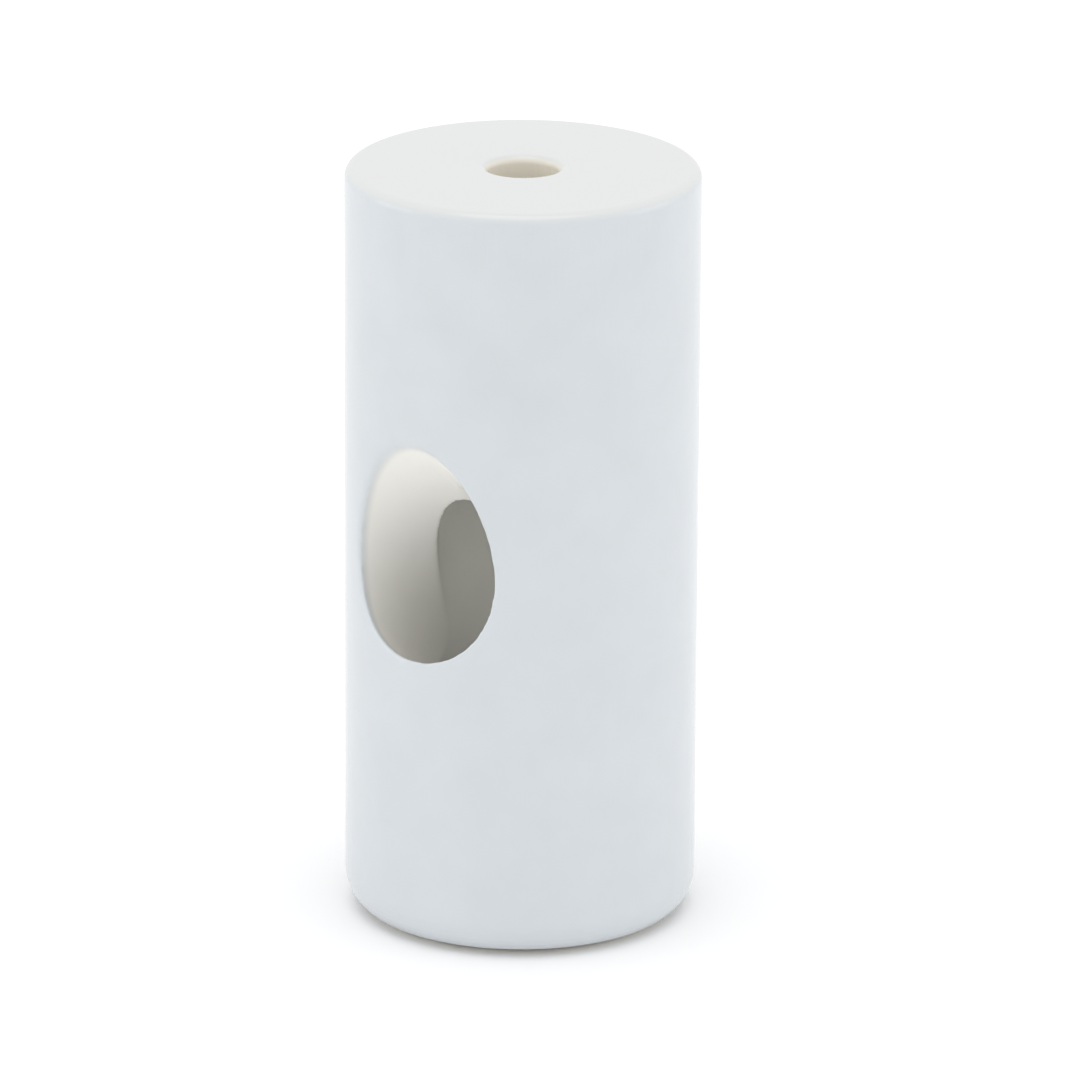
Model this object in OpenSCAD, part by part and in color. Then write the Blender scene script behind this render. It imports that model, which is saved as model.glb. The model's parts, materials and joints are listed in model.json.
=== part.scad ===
// Porcelain side-outlet insulator.
// A one-piece fired cylinder stands on its bare foot. A wire passage runs up from the foot,
// a round side port slopes down into that passage from the outside, and a small hole
// comes through the top for the fixing. A thin coat of glaze covers all of it but the foot.
// Millimetres, +Z up, origin at the centre of the foot. The side port faces -Y.
// Every size is the finished one, over the glaze.

/* [Body] */
// Outside diameter
body_d = 35; // [32:0.5:50]
// Height, from the foot to the top
body_h = 76.5; // [66:0.5:100]
// Radius of the round on the top rim
rim_round = 1; // [0.6:0.1:3]
// Radius of the round on the foot's edge, over the glaze
foot_round = 4.1; // [1:0.1:4.5]

/* [Wire passage] */
// Diameter of the passage that opens in the foot
passage_d = 16.6; // [16.6:0.2:19]
// Height of the passage's straight wall above the foot
passage_h = 47; // [45:0.5:54]
// Radius of the lip where the passage opens in the foot
passage_lip = 1.5; // [0.6:0.1:2]

/* [Top hole] */
// Diameter of the hole for the fixing
top_hole_d = 7; // [4:0.5:10]
// Radius of the lip where the hole opens in the top
top_lip = 0.8; // [0.6:0.1:2]

/* [Side port] */
// Diameter of the port, a little under the passage's
port_d = 16.4; // [8:0.2:16.4]
// Slope of the port, down towards the passage
port_slope = 42; // [30:1:46]
// Height of the port's centre where it leaves the side
port_h = 41.3; // [39:0.1:44]

/* [Glaze] */
// Thickness of the glaze
glaze_t = 0.3; // [0.2:0.05:0.5]
// Height of the glaze's edge above the foot
glaze_line = 0.7; // [0.6:0.1:1]

/* [Hidden] */
$fn = 128;
body_r = body_d / 2;
passage_r = passage_d / 2;
top_hole_r = top_hole_d / 2;
// A 45 degree funnel joins the passage to the top hole
funnel_h = passage_r - top_hole_r;
funnel_turn = 45;
// Where the port's axis meets the passage's axis
elbow_h = port_h - body_r * tan(port_slope);
port_reach = body_d / cos(port_slope);
// Overshoot of a cut past the face that it leaves
past = 2;

// In the modules below, skin is the depth under the finished surface: 0 for the glazed
// surface and glaze_t for the fired body beneath it. The foot is bare and has no skin, so
// the two rounds beside it are centred glaze_t lower: the body's run smoothly into the flat
// of the foot, and the glaze's keep their full thickness down to its edge.

// Half section of the cylinder before its hollows
module blank_section(skin) {
    foot_x = body_r - foot_round;
    rim_x = body_r - rim_round;
    translate([0, foot_round - glaze_t])
        square([body_r - skin, body_h - rim_round - foot_round + glaze_t]);
    square([foot_x, body_h / 2]);
    translate([0, body_h / 2])
        square([rim_x, body_h / 2 - skin]);
    translate([foot_x, foot_round - glaze_t])
        circle(foot_round - skin);
    translate([rim_x, body_h - rim_round])
        circle(rim_round - skin);
}

// Half section of the hollow: passage, funnel and top hole in one outline
module hollow_section(skin) {
    corner = skin * tan(funnel_turn / 2);
    polygon([
        [0, -past],
        [passage_r + skin, -past],
        [passage_r + skin, passage_h + corner],
        [top_hole_r + skin, passage_h + funnel_h + corner],
        [top_hole_r + skin, body_h + past],
        [0, body_h + past]
    ]);
}

// The corner that rounding a mouth takes away. The mouth opens upwards at height 0.
module lip_section(mouth_r, lip, skin) {
    difference() {
        translate([0, -lip])
            square([mouth_r + lip, lip + past]);
        translate([mouth_r + lip, -lip])
            circle(lip - skin);
    }
}

// Half section of the wall round the hollow
module wall_section(skin) {
    difference() {
        blank_section(skin);
        hollow_section(skin);
        translate([0, body_h])
            lip_section(top_hole_r, top_lip, skin);
        translate([0, -glaze_t])
            mirror([0, 1])
                lip_section(passage_r, passage_lip, skin);
    }
}

// The side port, a plain round cut that stops on the passage's axis
module side_port(skin) {
    translate([0, 0, elbow_h])
        rotate([90 - port_slope, 0, 0])
            cylinder(h = port_reach, r = port_d / 2 + skin);
}

// The whole insulator down to a depth under its finished surface
module insulator(skin) {
    difference() {
        rotate_extrude()
            wall_section(skin);
        side_port(skin);
    }
}

// Fired porcelain body, bare on its foot and under the glaze everywhere else
module porcelain_body() {
    color("ivory")
        insulator(glaze_t);
}

// Glaze over the outside and all through the hollows, down to a line just above the foot
module glaze_coat() {
    color("aliceblue")
        difference() {
            insulator(0);
            insulator(glaze_t);
            translate([0, 0, -past])
                cylinder(h = past + glaze_line, d = 2 * body_d);
        }
}

porcelain_body();
glaze_coat();
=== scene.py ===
# %% [markdown]
# # A glazed porcelain side-outlet insulator
# The object is one fired cylinder. A wire passage runs up from the foot, a round port slopes
# down into it from the side, and a small hole comes through the top. A white glaze covers
# everything but the foot. This lesson builds the fired body and its glaze as two closed
# meshes that take the place of the two plain CAD nodes, then gives them finishes and a studio.

# %% Load the CAD model
import json
import math
import bpy
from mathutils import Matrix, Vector


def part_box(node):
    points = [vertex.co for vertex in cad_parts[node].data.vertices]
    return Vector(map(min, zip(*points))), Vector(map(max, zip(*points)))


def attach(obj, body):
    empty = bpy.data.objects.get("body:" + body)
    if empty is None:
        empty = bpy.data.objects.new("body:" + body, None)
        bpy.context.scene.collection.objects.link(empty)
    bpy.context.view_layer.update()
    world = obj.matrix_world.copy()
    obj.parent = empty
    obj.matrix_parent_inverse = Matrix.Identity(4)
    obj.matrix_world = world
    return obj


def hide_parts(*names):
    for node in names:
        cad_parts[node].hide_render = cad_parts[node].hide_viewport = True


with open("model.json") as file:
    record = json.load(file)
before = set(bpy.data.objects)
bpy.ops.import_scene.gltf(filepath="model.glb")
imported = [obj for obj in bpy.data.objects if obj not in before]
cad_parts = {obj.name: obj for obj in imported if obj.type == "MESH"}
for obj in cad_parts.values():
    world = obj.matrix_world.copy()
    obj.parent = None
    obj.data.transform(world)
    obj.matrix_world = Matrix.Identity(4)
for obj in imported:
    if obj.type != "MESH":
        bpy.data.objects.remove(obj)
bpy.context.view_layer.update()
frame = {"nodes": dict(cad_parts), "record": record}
scene = bpy.context.scene
print("CAD nodes:", sorted(frame["nodes"]))

# %% [markdown]
# ## Sizes
# The outside sizes come from the CAD nodes' boxes, and the bores' radii and the port's axis
# come from the record's mounts, so these follow the CAD by themselves. The record doesn't
# hold the rounds, the turned lips or the height where the passage starts to narrow, so the
# section's cell repeats those from the CAD. The fired lips are set here alone, because
# the CAD leaves those edges plain.

# %% Sizes from the CAD model
MM = 0.001
glaze_low, glaze_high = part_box("glaze_coat")
body_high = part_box("porcelain_body")[1]
mounts = {}
for mount in frame["record"]["mounts"]:
    mounts[mount["name"]] = mount

OUTER_R = glaze_high.x
HEIGHT = glaze_high.z
GLAZE = glaze_high.x - body_high.x
GLAZE_LINE = glaze_low.z
PASSAGE_R = mounts["wire_passage"]["dims"]["r_mm"] * MM
TOP_HOLE_R = mounts["top_hole"]["dims"]["r_mm"] * MM
PORT_R = mounts["side_port"]["dims"]["r_mm"] * MM
port_axis = Vector(mounts["side_port"]["axis"]).normalized()
port_point = Vector(mounts["side_port"]["pos_m"])
ELBOW_Z = port_point.z - port_axis.z * (port_point.y / port_axis.y)
print("outer radius", round(OUTER_R / MM, 2), "mm, height", round(HEIGHT / MM, 2), "mm")
print("glaze", round(GLAZE / MM, 2), "mm, elbow at", round(ELBOW_Z / MM, 2), "mm")

# %% [markdown]
# ## Turned blank with its hollows
# Porcelain like this is turned or pressed as a round blank, so its half section is spun
# about the axis. Each round is a short run of points along an arc. The passage narrows to
# the top hole at 45 degrees, so the funnel's height is the difference of the two radii. The
# fired body is the same section drawn one glaze thickness under the finished surface, which
# is why the section takes a depth, named skin.

# %% Half section of the wall
RIM_ROUND = 1.0 * MM
FOOT_ROUND = 4.1 * MM
TOP_LIP = 0.8 * MM
PASSAGE_LIP = 1.5 * MM
PASSAGE_TOP = 47.0 * MM
FUNNEL = PASSAGE_R - TOP_HOLE_R
FUNNEL_ANGLE = math.radians(45)
ARC_STEPS = 10


def arc(centre_x, centre_z, radius, start, end):
    """Points along a round, from one angle to another, in degrees."""
    points = []
    for i in range(ARC_STEPS + 1):
        angle = math.radians(start + (end - start) * i / ARC_STEPS)
        points.append((centre_x + radius * math.cos(angle), centre_z + radius * math.sin(angle)))
    return points


def wall_section(skin):
    """Outline of the wall, from the foot up the outside, over the top and down the hollow."""
    corner = skin * math.tan(FUNNEL_ANGLE / 2)
    outline = []
    outline += arc(OUTER_R - FOOT_ROUND, FOOT_ROUND - GLAZE, FOOT_ROUND - skin, -90, 0)
    outline += arc(OUTER_R - RIM_ROUND, HEIGHT - RIM_ROUND, RIM_ROUND - skin, 0, 90)
    outline += arc(TOP_HOLE_R + TOP_LIP, HEIGHT - TOP_LIP, TOP_LIP - skin, 90, 180)
    outline.append((TOP_HOLE_R + skin, PASSAGE_TOP + FUNNEL + corner))
    outline.append((PASSAGE_R + skin, PASSAGE_TOP + corner))
    outline += arc(PASSAGE_R + PASSAGE_LIP, PASSAGE_LIP - GLAZE, PASSAGE_LIP - skin, 180, 270)
    return outline


print("section points:", len(wall_section(0.0)))

# %% [markdown]
# A one-vertex start is extruded along the outline, and the Spin tool turns it round the axis.
# The doubled seam is merged, and the normals are then made to face outwards.

# %% Spin a section into a closed ring
SPIN_STEPS = 384
MERGE_BELOW = 0.001 * MM


def deselect_all():
    if bpy.context.object and bpy.context.object.mode != "OBJECT":
        bpy.ops.object.mode_set(mode="OBJECT")
    bpy.ops.object.select_all(action="DESELECT")


def make_active(piece):
    deselect_all()
    piece.select_set(True)
    bpy.context.view_layer.objects.active = piece


def spin_wall(name, skin):
    """The blank with its passage and top hole, as one closed ring."""
    outline = wall_section(skin)
    deselect_all()
    bpy.ops.mesh.primitive_plane_add(size=MM, location=(0, 0, 0))
    piece = bpy.context.object
    piece.name = name
    bpy.ops.object.mode_set(mode="EDIT")
    bpy.ops.mesh.select_all(action="SELECT")
    bpy.ops.mesh.merge(type="CENTER")
    first = outline[0]
    bpy.ops.transform.translate(value=(first[0], 0, first[1]))
    for here, there in zip(outline, outline[1:]):
        step = (there[0] - here[0], 0, there[1] - here[1])
        bpy.ops.mesh.extrude_vertices_move(TRANSFORM_OT_translate={"value": step})
    bpy.ops.mesh.select_all(action="SELECT")
    bpy.ops.mesh.edge_face_add()
    bpy.ops.mesh.delete(type="ONLY_FACE")
    bpy.ops.mesh.select_all(action="SELECT")
    bpy.ops.mesh.spin(
        steps=SPIN_STEPS, angle=2 * math.pi, center=(0, 0, 0), axis=(0, 0, 1), use_auto_merge=True
    )
    bpy.ops.mesh.select_all(action="SELECT")
    bpy.ops.mesh.remove_doubles(threshold=MERGE_BELOW)
    bpy.ops.mesh.normals_make_consistent(inside=False)
    bpy.ops.object.mode_set(mode="OBJECT")
    print(name, "spun:", len(piece.data.polygons), "faces")
    return piece


# %% [markdown]
# ## The sloping port
# The port is a straight round cut that starts on the passage's axis and leaves through the
# side. A long cylinder is tilted to the port's slope, and a Boolean takes it away from the
# blank.

# %% Cut the port
PORT_REACH = 48.0 * MM
PORT_SIDES = 256


def cut(piece, cutter):
    """Takes the cutter's volume out of the piece, and deletes the cutter."""
    make_active(piece)
    boolean = piece.modifiers.new("cut", "BOOLEAN")
    boolean.operation = "DIFFERENCE"
    boolean.solver = "EXACT"
    boolean.object = cutter
    bpy.ops.object.modifier_apply(modifier=boolean.name)
    bpy.data.objects.remove(cutter)


def port_cutter(skin):
    middle = Vector((0, 0, ELBOW_Z)) + port_axis * (PORT_REACH / 2)
    turn = port_axis.to_track_quat("Z", "Y").to_euler()
    deselect_all()
    bpy.ops.mesh.primitive_cylinder_add(
        vertices=PORT_SIDES, radius=PORT_R + skin, depth=PORT_REACH, location=middle, rotation=turn
    )
    return bpy.context.object


def insulator(name, skin):
    piece = spin_wall(name, skin)
    cut(piece, port_cutter(skin))
    print(name, "with its port:", len(piece.data.polygons), "faces")
    return piece


body = insulator("fired_porcelain_body", GLAZE)
outer = insulator("white_glaze", 0.0)

# %% [markdown]
# ## Soft fired lips
# Glaze flows in the kiln and draws back from sharp edges, so the port's mouth and the crest
# where the port meets the passage are never crisp. A bevel would fold over itself on the
# narrow faces that the Boolean leaves there. A fine, even voxel mesh that is smoothed only
# near those two edges gives the same flowed round. A mouth like this is sponged before
# glazing and comes out soft, while the crest inside is out of reach and stays tight, so each
# has its own reach and number of passes.

# %% Weigh each point by its place near a lip
LOOSE = "loose"
FADE_SHARE = 0.5
LIPS = {
    "mouth": {"reach": 2.1 * MM, "passes": 84},
    "crest": {"reach": 0.8 * MM, "passes": 12},
}


def distance_to_lips(co, skin):
    """How far a point is from the port's mouth, and from its crest on the passage."""
    from_elbow = co - Vector((0, 0, ELBOW_Z))
    along = from_elbow.dot(port_axis)
    if along < 0:
        return {"mouth": OUTER_R, "crest": OUTER_R}
    from_axis = math.hypot(co.x, co.y)
    off_port = (from_elbow - port_axis * along).length - (PORT_R + skin)
    off_side = from_axis - (OUTER_R - skin)
    off_passage = from_axis - (PASSAGE_R + skin)
    return {"mouth": math.hypot(off_port, off_side), "crest": math.hypot(off_port, off_passage)}


def weigh_lips(piece, skin):
    """Gives each lip a group that fades out over its reach, and one more group for both."""
    groups = {name: piece.vertex_groups.new(name=name) for name in LIPS}
    loose = piece.vertex_groups.new(name=LOOSE)
    near = 0
    for vertex in piece.data.vertices:
        distances = distance_to_lips(vertex.co, skin)
        strongest = 0.0
        for name, lip in LIPS.items():
            weight = min(1.0, (1.0 - distances[name] / lip["reach"]) / FADE_SHARE)
            if weight > 0:
                groups[name].add([vertex.index], weight, "REPLACE")
                strongest = max(strongest, weight)
        if strongest > 0:
            loose.add([vertex.index], strongest, "REPLACE")
            near += 1
    print(piece.name, "has", near, "of", len(piece.data.vertices), "points near a lip")


print("lips:", {name: round(lip["reach"] / MM, 1) for name, lip in LIPS.items()}, "mm of reach")

# %% [markdown]
# Voxels leave faint steps away from the lips, so Shrinkwrap pulls the rest back onto the
# crisp shape, and Decimate then thins the mesh where it is plain. Applying a modifier can
# leave a vertex group's old handle pointing at nothing, so from here on the groups are
# called by name. The body is softened too, or its corner would stand out of the glaze.

# %% Round the port's mouth and crest
VOXEL = 0.18 * MM
EVEN_PASSES = 4
BODY_KEEP = 0.047
GLAZE_KEEP = 0.14


def apply_smooth(piece, passes, group=""):
    smooth = piece.modifiers.new("flow", "SMOOTH")
    smooth.factor = 0.5
    smooth.iterations = passes
    smooth.vertex_group = group
    bpy.ops.object.modifier_apply(modifier=smooth.name)


def copy_of(piece, name):
    make_active(piece)
    bpy.ops.object.duplicate()
    twin = bpy.context.object
    twin.name = name
    return twin


def thin_out(piece, keep):
    make_active(piece)
    thin = piece.modifiers.new("thin", "DECIMATE")
    thin.ratio = keep
    bpy.ops.object.modifier_apply(modifier=thin.name)


def even_out(piece):
    """Rebuilds the piece as an even mesh of voxels, and takes off their steps."""
    make_active(piece)
    remesh = piece.modifiers.new("even_mesh", "REMESH")
    remesh.mode = "VOXEL"
    remesh.voxel_size = VOXEL
    bpy.ops.object.modifier_apply(modifier=remesh.name)
    apply_smooth(piece, EVEN_PASSES)


def settle_on(piece, crisp):
    """Pulls all but the lips back onto the crisp shape, which is then deleted."""
    settle = piece.modifiers.new("settle", "SHRINKWRAP")
    settle.target = crisp
    settle.wrap_method = "NEAREST_SURFACEPOINT"
    settle.vertex_group = LOOSE
    settle.invert_vertex_group = True
    bpy.ops.object.modifier_apply(modifier=settle.name)
    bpy.data.objects.remove(crisp)


def soften_lips(piece, skin, keep):
    crisp = copy_of(piece, "crisp_shape")
    even_out(piece)
    weigh_lips(piece, skin)
    for name, lip in LIPS.items():
        apply_smooth(piece, lip["passes"], name)
    settle_on(piece, crisp)
    piece.vertex_groups.clear()
    thin_out(piece, keep)
    print(piece.name, "thinned to", len(piece.data.polygons), "faces")


soften_lips(body, GLAZE, BODY_KEEP)
soften_lips(outer, 0.0, GLAZE_KEEP)

# %% [markdown]
# ## A coat with a real thickness
# The glaze is a layer of glass about a third of a millimetre thick, so it is made as one: the
# outer shape with the body taken out of it. The face that lies on the body is never seen, so
# it is cut with a thinned copy. The coat ends just above the foot, where a potter wipes it
# off so that the piece doesn't stick to the kiln shelf.

# %% Take the body and the wiped foot out of the glaze
HIDDEN_KEEP = 0.5
WIPE_DEPTH = 10.0 * MM
WIPE_SIDES = 96

core = copy_of(body, "core_of_glaze")
thin_out(core, HIDDEN_KEEP)
cut(outer, core)

deselect_all()
bpy.ops.mesh.primitive_cylinder_add(
    vertices=WIPE_SIDES, radius=2 * OUTER_R, depth=WIPE_DEPTH,
    location=(0, 0, GLAZE_LINE - WIPE_DEPTH / 2)
)
cut(outer, bpy.context.object)
glaze = outer
print("glaze faces:", len(glaze.data.polygons), "body faces:", len(body.data.polygons))

# %% [markdown]
# Both pieces are shaded smooth where neighbouring faces almost line up, which keeps the
# glaze's wiped edge and the rim of the flat foot crisp. Each then rides on the one body and
# stands for its CAD node.

# %% Shade smooth and place on the body
SMOOTH_BELOW = math.radians(40)


def finish_piece(piece, node):
    make_active(piece)
    bpy.ops.object.transform_apply(location=True, rotation=True, scale=True)
    bpy.ops.object.shade_smooth_by_angle(angle=SMOOTH_BELOW)
    piece.data.materials.clear()
    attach(piece, "root")
    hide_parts(node)
    triangles = sum(len(face.vertices) - 2 for face in piece.data.polygons)
    print(piece.name, "has", triangles, "triangles")


finish_piece(body, "porcelain_body")
finish_piece(glaze, "glaze_coat")

# %% [markdown]
# ## Helpers for materials
# Colours are written as the sRGB hex values a colour picker gives, and shaders want linear
# values, so one function converts them. Another adds a node with its settings and links. A
# Mix node keeps sockets for every kind of data, so its colour sockets go by number.

# %% Colour and node helpers
COLOUR_A = 6
COLOUR_B = 7
COLOUR_OUT = 2


def linear(hex_colour):
    """An sRGB hex colour as linear RGBA."""
    channels = []
    for i in (1, 3, 5):
        value = int(hex_colour[i:i + 2], 16) / 255
        if value <= 0.04045:
            channels.append(value / 12.92)
        else:
            channels.append(((value + 0.055) / 1.055) ** 2.4)
    return (*channels, 1.0)


def add_node(tree, kind, settings=None, inputs=None):
    """Adds a node, sets its properties, then sets or links each named input."""
    node = tree.nodes.new(kind)
    for name, value in (settings or {}).items():
        setattr(node, name, value)
    for name, value in (inputs or {}).items():
        if isinstance(value, bpy.types.NodeSocket):
            tree.links.new(value, node.inputs[name])
        else:
            node.inputs[name].default_value = value
    return node


def new_material(name):
    material = bpy.data.materials.new(name)
    material.use_nodes = True
    tree = material.node_tree
    return material, tree, tree.nodes["Principled BSDF"]


print("mid grey is", round(linear("#808080")[0], 3), "in linear light")

# %% [markdown]
# ## White gloss glaze
# A feldspar glaze is clear glass, clouded white, fused over the body at about 1300 degrees.
# It gives the eye a cool milky white with a soft shine, brighter at grazing edges. It is never
# quite even: it clouds over a few millimetres and has a shallow orange peel. Three more tones
# are painted by place on the piece, with Object coordinates: the top is painted a little
# lighter and more neutral as painted light from above, the hollows are painted lighter and
# slightly warm as painted light, and the small top hole a darker warm beige as painted shade.
# The first cell finds each place: how far out a point is, and how high, with a soft step at
# each border. A mask that fades out is full at the axis, or low down.

# %% Places on the glaze
FADES_IN = (0.0, 1.0)
FADES_OUT = (1.0, 0.0)

glaze_white, tree, shader = new_material("feldspar_gloss_glaze")
place = add_node(tree, "ShaderNodeTexCoord").outputs["Object"]
from_foot = add_node(tree, "ShaderNodeSeparateXYZ", inputs={"Vector": place}).outputs["Z"]
across = add_node(
    tree, "ShaderNodeVectorMath", {"operation": "MULTIPLY"}, {0: place, 1: (1.0, 1.0, 0.0)}
)
from_axis = add_node(
    tree, "ShaderNodeVectorMath", {"operation": "LENGTH"}, {0: across.outputs["Vector"]}
).outputs["Value"]
places = {
    "in_wall": (from_axis, OUTER_R - 1.5 * MM, OUTER_R - 0.1 * MM, FADES_OUT),
    "in_core": (from_axis, PASSAGE_R + 0.4 * MM, PASSAGE_R + PASSAGE_LIP, FADES_OUT),
    "hole_painted_shade": (from_axis, TOP_HOLE_R, TOP_HOLE_R + 0.4 * MM, FADES_OUT),
    "above_foot": (from_foot, 10.0 * MM, 14.0 * MM, FADES_IN),
    "below_top": (from_foot, HEIGHT - 4.0 * MM, HEIGHT - 0.5 * MM, FADES_OUT),
    "top_painted_light": (from_foot, HEIGHT - 0.9 * MM, HEIGHT - 0.1 * MM, FADES_IN),
}
masks = {}
for name, (measure, start, end, levels) in places.items():
    masks[name] = add_node(
        tree, "ShaderNodeMapRange", {"interpolation_type": "SMOOTHSTEP"},
        {"Value": measure, "From Min": start, "From Max": end,
         "To Min": levels[0], "To Max": levels[1]}
    ).outputs["Result"]
in_port = add_node(
    tree, "ShaderNodeMath", {"operation": "MULTIPLY"}, {0: masks["in_wall"], 1: masks["above_foot"]}
)
in_either = add_node(
    tree, "ShaderNodeMath", {"operation": "MAXIMUM"},
    {0: in_port.outputs["Value"], 1: masks["in_core"]}
)
# This mask carries the painted light of the hollows: a lighter, slightly warm tone inside the port
# and the passage.
inside = add_node(
    tree, "ShaderNodeMath", {"operation": "MULTIPLY"},
    {0: in_either.outputs["Value"], 1: masks["below_top"]}
).outputs["Value"]
print("glaze masks:", sorted(masks))

# %% [markdown]
# The tones are laid over each other in order: the clouded cool white of the outside, then the
# top as painted light from above, the hollows, and the small hole as painted warm shade. The
# hollows are set lighter than a real glaze, to stand for the light that comes through the
# translucent wall and that a surface colour can't carry.

# %% Tones of the glaze
CLOUD_SIZE = 6.0 * MM

clouds = add_node(
    tree, "ShaderNodeTexNoise", {"noise_dimensions": "3D"},
    {"Vector": place, "Scale": 1 / CLOUD_SIZE, "Detail": 3.0, "Roughness": 0.5}
).outputs["Fac"]
tone = add_node(
    tree, "ShaderNodeMix", {"data_type": "RGBA"},
    {"Factor": clouds, COLOUR_A: linear("#C9CED2"), COLOUR_B: linear("#D1D6DA")}
).outputs[COLOUR_OUT]
# Painted light and shade: the top tone is painted light from above, the hollows' tone is painted
# light, and the top hole's tone is painted warm shade.
layers = ((masks["top_painted_light"], "#D3D5D4"), (inside, "#F8F7F2"), (masks["hole_painted_shade"], "#E8E3D7"))
for where, hex_colour in layers:
    tone = add_node(
        tree, "ShaderNodeMix", {"data_type": "RGBA"},
        {"Factor": where, COLOUR_A: tone, COLOUR_B: linear(hex_colour)}
    ).outputs[COLOUR_OUT]
tree.links.new(tone, shader.inputs["Base Color"])
print("glaze tones laid over the outside:", len(layers))

# %% [markdown]
# The gloss follows the same clouds, a little duller where the glaze is whiter. The orange
# peel is a very shallow bump, drawn wider than the real one so that it shows at all.

# %% Gloss and orange peel of the glaze
PEEL_SIZE = 1.6 * MM
PEEL_HEIGHT = 0.004 * MM
CLOUDS_LOW = 0.3
CLOUDS_HIGH = 0.7
GLOSS_SHARP = 0.16
GLOSS_DULL = 0.23
GLAZE_IOR = 1.5

wear = add_node(
    tree, "ShaderNodeMapRange", None,
    {"Value": clouds, "From Min": CLOUDS_LOW, "From Max": CLOUDS_HIGH,
     "To Min": GLOSS_SHARP, "To Max": GLOSS_DULL}
)
tree.links.new(wear.outputs["Result"], shader.inputs["Roughness"])
peel = add_node(
    tree, "ShaderNodeTexNoise", {"noise_dimensions": "3D"},
    {"Vector": place, "Scale": 1 / PEEL_SIZE, "Detail": 1.0}
)
bump = add_node(
    tree, "ShaderNodeBump", None,
    {"Height": peel.outputs["Fac"], "Strength": 1.0, "Distance": PEEL_HEIGHT}
)
tree.links.new(bump.outputs["Normal"], shader.inputs["Normal"])
shader.inputs["IOR"].default_value = GLAZE_IOR
glaze.data.materials.append(glaze_white)
print(glaze_white.name, "has", len(tree.nodes), "nodes")

# %% [markdown]
# ## Bare fired porcelain
# The foot is the body itself, vitrified but not glazed. It gives the eye a dry ivory white
# with no shine and a fine grain from the grinding. The real grain is about 0.05 mm, too fine
# to show, so it is drawn at 0.35 mm.

# %% Bare porcelain material
GRAIN_SIZE = 0.35 * MM
GRAIN_HEIGHT = 0.008 * MM
STAIN_SIZE = 5.0 * MM
BARE_ROUGHNESS = 0.75
PORCELAIN_IOR = 1.5

bare_porcelain, tree, shader = new_material("bare_vitrified_porcelain")
place = add_node(tree, "ShaderNodeTexCoord").outputs["Object"]
stain = add_node(
    tree, "ShaderNodeTexNoise", {"noise_dimensions": "3D"},
    {"Vector": place, "Scale": 1 / STAIN_SIZE, "Detail": 4.0}
)
ivory = add_node(
    tree, "ShaderNodeMix", {"data_type": "RGBA"},
    {"Factor": stain.outputs["Fac"], COLOUR_A: linear("#D9D5CA"), COLOUR_B: linear("#E8E5DC")}
)
tree.links.new(ivory.outputs[COLOUR_OUT], shader.inputs["Base Color"])
grain = add_node(
    tree, "ShaderNodeTexNoise", {"noise_dimensions": "3D"},
    {"Vector": place, "Scale": 1 / GRAIN_SIZE, "Detail": 2.0}
)
bump = add_node(
    tree, "ShaderNodeBump", None,
    {"Height": grain.outputs["Fac"], "Strength": 1.0, "Distance": GRAIN_HEIGHT}
)
tree.links.new(bump.outputs["Normal"], shader.inputs["Normal"])
shader.inputs["Roughness"].default_value = BARE_ROUGHNESS
shader.inputs["IOR"].default_value = PORCELAIN_IOR
body.data.materials.append(bare_porcelain)
print(bare_porcelain.name, "has", len(tree.nodes), "nodes")

# %% [markdown]
# ## Studio
# White ware is best lit in a tent: white from all round, a little more from above, on a
# pale floor. The even surround keeps the sides free of hard reflections and lets the gloss
# show only as brighter edges. A plain view transform keeps whites as bright as they are lit.

# %% Floor, surround and overhead softbox
FLOOR_SIZE = 6.0
FLOOR_ROUGHNESS = 0.9
FLOOR_SPECULAR = 0.1
SURROUND_LEVEL = 0.97
SOFTBOX_SIZE = 1.2
SOFTBOX_PLACE = (0.1, -0.25, 1.5)
SOFTBOX_WATTS = 5.2

deselect_all()
bpy.ops.mesh.primitive_plane_add(size=FLOOR_SIZE, location=(0, 0, 0))
floor = bpy.context.object
floor.name = "pale_floor"
floor_paint, tree, shader = new_material("matt_white_paper")
shader.inputs["Base Color"].default_value = linear("#FAFAFA")
shader.inputs["Roughness"].default_value = FLOOR_ROUGHNESS
shader.inputs["Specular IOR Level"].default_value = FLOOR_SPECULAR
floor.data.materials.append(floor_paint)

world = bpy.data.worlds.new("white_tent")
world.use_nodes = True
surround = world.node_tree.nodes["Background"]
surround.inputs["Color"].default_value = (1.0, 1.0, 1.0, 1.0)
surround.inputs["Strength"].default_value = SURROUND_LEVEL
scene.world = world

deselect_all()
bpy.ops.object.light_add(type="AREA", location=SOFTBOX_PLACE)
softbox = bpy.context.object
softbox.name = "overhead_softbox"
softbox.data.size = SOFTBOX_SIZE
softbox.data.energy = SOFTBOX_WATTS
scene.view_settings.view_transform = "Standard"
print("softbox of", SOFTBOX_WATTS, "W at", SOFTBOX_PLACE, "m")

# %% [markdown]
# ## Camera
# The view is from a little above and to the right of the port, through a long lens from about
# 0.9 m, so the cylinder's sides stay almost parallel. The camera's own axes are worked out
# from its angles, which keeps the small roll exact.

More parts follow.
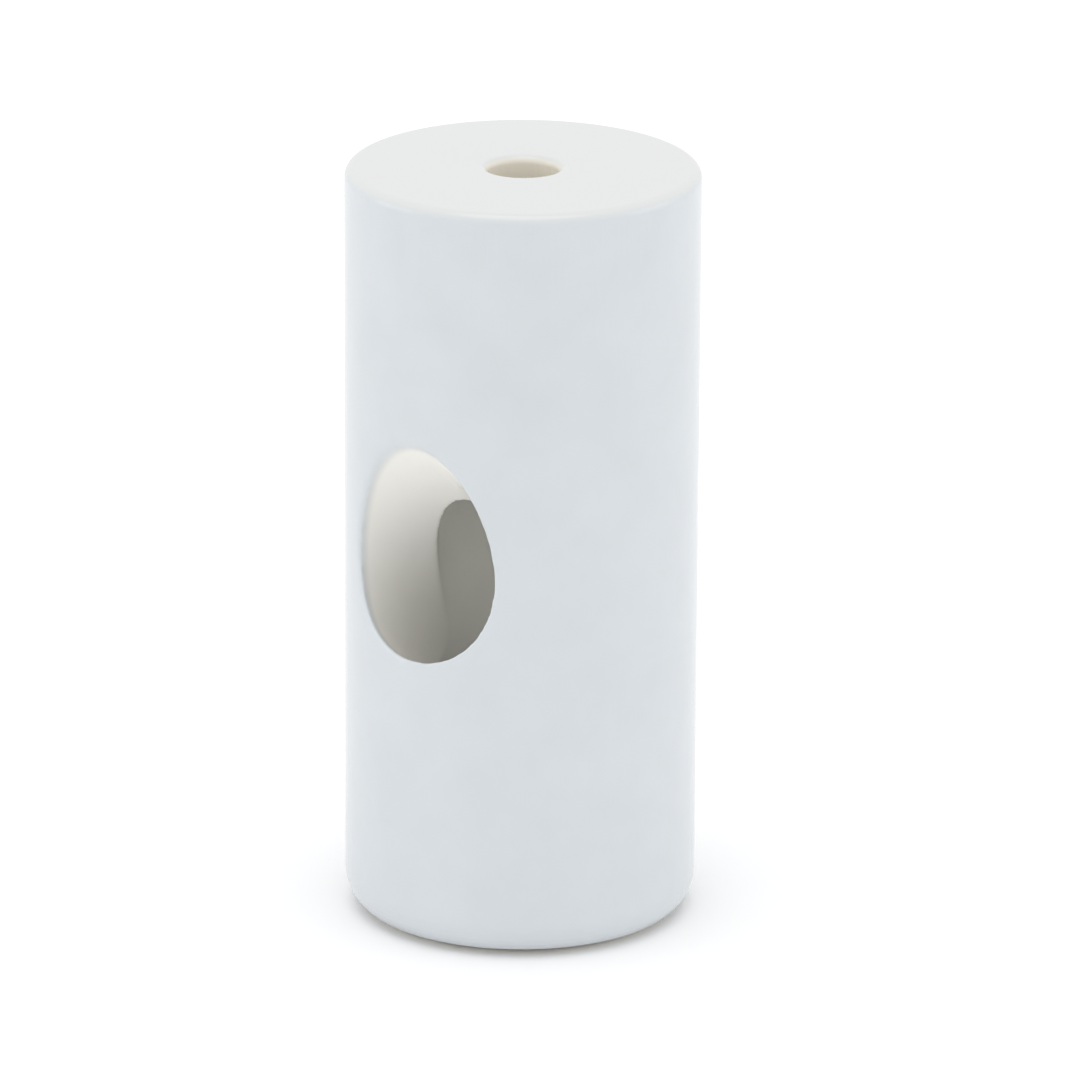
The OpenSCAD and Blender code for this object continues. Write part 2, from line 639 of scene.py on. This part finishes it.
# %% Camera
CAMERA_TURN = math.radians(37.4)
CAMERA_TILT = math.radians(18.5)
CAMERA_ROLL = math.radians(0.32)
CAMERA_DISTANCE = 0.880
FRAME_WIDTH = 107.04 * MM
SENSOR_WIDTH = 36.0
CLIP_START = 0.01
AIM_RIGHT = 1.84 * MM
AIM_DOWN = 0.27 * MM

right = Vector((math.cos(CAMERA_TURN), math.sin(CAMERA_TURN), 0))
back = Vector((
    math.sin(CAMERA_TURN) * math.cos(CAMERA_TILT),
    -math.cos(CAMERA_TURN) * math.cos(CAMERA_TILT),
    math.sin(CAMERA_TILT),
))
up = back.cross(right)
aim = Vector((0, 0, HEIGHT / 2)) + right * AIM_RIGHT - up * AIM_DOWN
rolled_right = right * math.cos(CAMERA_ROLL) + up * math.sin(CAMERA_ROLL)
rolled_up = back.cross(rolled_right)

deselect_all()
bpy.ops.object.camera_add(location=aim + back * CAMERA_DISTANCE)
camera = bpy.context.object
pose = camera.matrix_world.copy()
for i in range(3):
    pose[i][0] = rolled_right[i]
    pose[i][1] = rolled_up[i]
    pose[i][2] = back[i]
camera.matrix_world = pose
camera.data.sensor_width = SENSOR_WIDTH
camera.data.lens = SENSOR_WIDTH * CAMERA_DISTANCE / FRAME_WIDTH
camera.data.clip_start = CLIP_START
scene.camera = camera
print("lens", round(camera.data.lens), "mm at", CAMERA_DISTANCE, "m")

# %% [markdown]
# Two weak panels stand to the left and right of the view. They lift the cylinder's two sides
# above its middle, which is what makes it read as round, and the right one reaches the wall
# inside the port.

# %% Side panels
PANEL_DISTANCE = 1.0
PANEL_HEIGHT = 0.2
PANEL_WATTS = 0.9
PANEL_SIZE = 0.6

for side in (-1, 1):
    stand = right * (side * PANEL_DISTANCE) + Vector((0, 0, PANEL_HEIGHT))
    deselect_all()
    bpy.ops.object.light_add(
        type="AREA", location=stand, rotation=(-stand).to_track_quat("-Z", "Y").to_euler()
    )
    panel = bpy.context.object
    panel.name = "side_panel"
    panel.data.size = PANEL_SIZE
    panel.data.energy = PANEL_WATTS
print("two side panels of", PANEL_WATTS, "W")
